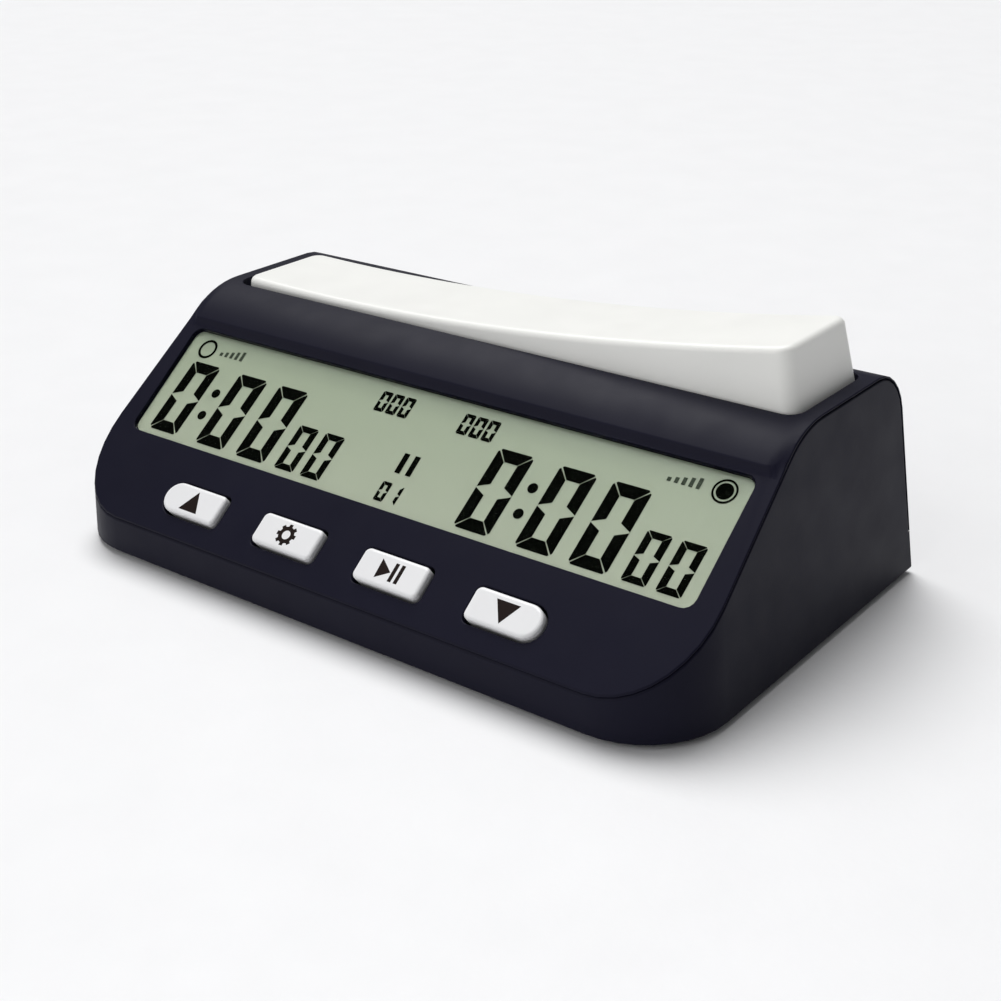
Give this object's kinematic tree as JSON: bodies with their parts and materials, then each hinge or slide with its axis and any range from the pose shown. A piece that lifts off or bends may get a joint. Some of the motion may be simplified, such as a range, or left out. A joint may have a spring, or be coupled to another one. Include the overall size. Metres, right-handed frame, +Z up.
{
  "type": "chess clock",
  "caption": "Wedge-shaped digital chess clock with a sloping display, a row of keys and one long rocker bar on top.",
  "frame": {"origin": "on the surface the feet stand on, under the middle of the clock's outer box", "axes": "+Z up, +X to the right of a player who reads the display, +Y to the back of the clock"},
  "size_m": [0.15, 0.088, 0.0553],
  "materials": {
    "shell_plastic": "fine satin texture, dark navy black",
    "rocker_plastic": "satin warm white",
    "key_plastic": "satin white",
    "window": "clear acrylic",
    "display": "grey-green reflective liquid crystal",
    "frame_plastic": "natural moulded",
    "black_rubber": "matt",
    "board": "solder mask",
    "chip_plastic": "moulded epoxy",
    "tinned_metal": "tin plated",
    "steel": "zinc plated",
    "cell_jacket": "plain shrink sleeve",
    "lead_red": "vinyl",
    "lead_black": "vinyl"
  },
  "bodies": {
    "housing": {"face_cover": "shell_plastic", "base_tub": "shell_plastic", "rocker_axle": "steel", "lens_window": "window", "lcd_glass": "display", "lcd_frame": "frame_plastic", "zebra_strip": "black_rubber", "main_board": "board", "switch_board": "board", "controller_chip": "chip_plastic", "crystal_can": "tinned_metal", "filter_capacitor": "chip_plastic", "rocker_switch": "tinned_metal", "switch_screw_1": "steel", "switch_screw_2": "steel", "buzzer": "chip_plastic", "power_switch": "tinned_metal", "battery_1": "cell_jacket", "battery_2": "cell_jacket", "battery_link": "tinned_metal", "battery_plate_positive": "tinned_metal", "battery_plate_negative": "tinned_metal", "battery_spring_1": "steel", "battery_spring_2": "steel", "lead_positive": "lead_red", "lead_negative": "lead_black", "lead_switch": "lead_black", "board_screw_1": "steel", "board_screw_2": "steel", "board_screw_3": "steel", "board_screw_4": "steel", "foot_front_left": "black_rubber", "case_screw_front_left": "steel", "foot_front_right": "black_rubber", "case_screw_front_right": "steel", "foot_rear_left": "black_rubber", "case_screw_rear_left": "steel", "foot_rear_right": "black_rubber", "case_screw_rear_right": "steel", "up_switch": "tinned_metal", "settings_switch": "tinned_metal", "play_switch": "tinned_metal", "down_switch": "tinned_metal"},
    "rocker": {"rocker": "rocker_plastic"},
    "rocker_slider": {"rocker_slider": "chip_plastic"},
    "power_slider": {"power_slider": "chip_plastic"},
    "battery_door": {"battery_door": "shell_plastic"},
    "up_key": {"up_key": "key_plastic", "up_plunger": "chip_plastic"},
    "settings_key": {"settings_key": "key_plastic", "settings_plunger": "chip_plastic"},
    "play_key": {"play_key": "key_plastic", "play_plunger": "chip_plastic"},
    "down_key": {"down_key": "key_plastic", "down_plunger": "chip_plastic"}
  },
  "joints": [
    {"name": "rocker_tilt", "type": "hinge", "parent": "housing", "child": "rocker", "pos_m": [0, 0.0169, 0.038], "axis": [0, 1, 0], "range_deg": [0, 8.8]},
    {"name": "rocker_switch_slide", "type": "slide", "parent": "housing", "child": "rocker_slider", "axis": [1, 0, 0], "range_m": [-0.0024, 0.0001]},
    {"name": "up_press", "type": "slide", "parent": "housing", "child": "up_key", "axis": [0, 0.6157, -0.788], "range_m": [0, 0.0006], "stiffness_N_per_m": 900, "springref_m": -0.0004},
    {"name": "settings_press", "type": "slide", "parent": "housing", "child": "settings_key", "axis": [0, 0.6157, -0.788], "range_m": [0, 0.0006], "stiffness_N_per_m": 900, "springref_m": -0.0004},
    {"name": "play_press", "type": "slide", "parent": "housing", "child": "play_key", "axis": [0, 0.6157, -0.788], "range_m": [0, 0.0006], "stiffness_N_per_m": 900, "springref_m": -0.0004},
    {"name": "down_press", "type": "slide", "parent": "housing", "child": "down_key", "axis": [0, 0.6157, -0.788], "range_m": [0, 0.0006], "stiffness_N_per_m": 900, "springref_m": -0.0004},
    {"name": "power_switch_slide", "type": "slide", "parent": "housing", "child": "power_slider", "axis": [1, 0, 0], "range_m": [0, 0.004]},
    {"name": "battery_door_slide", "type": "slide", "parent": "housing", "child": "battery_door", "axis": [0, 1, 0], "range_m": [0, 0.036]}
  ],
  "couplings": [
    {"joint": "rocker_switch_slide", "follows": "rocker_tilt", "m_per_rad": -0.015}
  ]
}
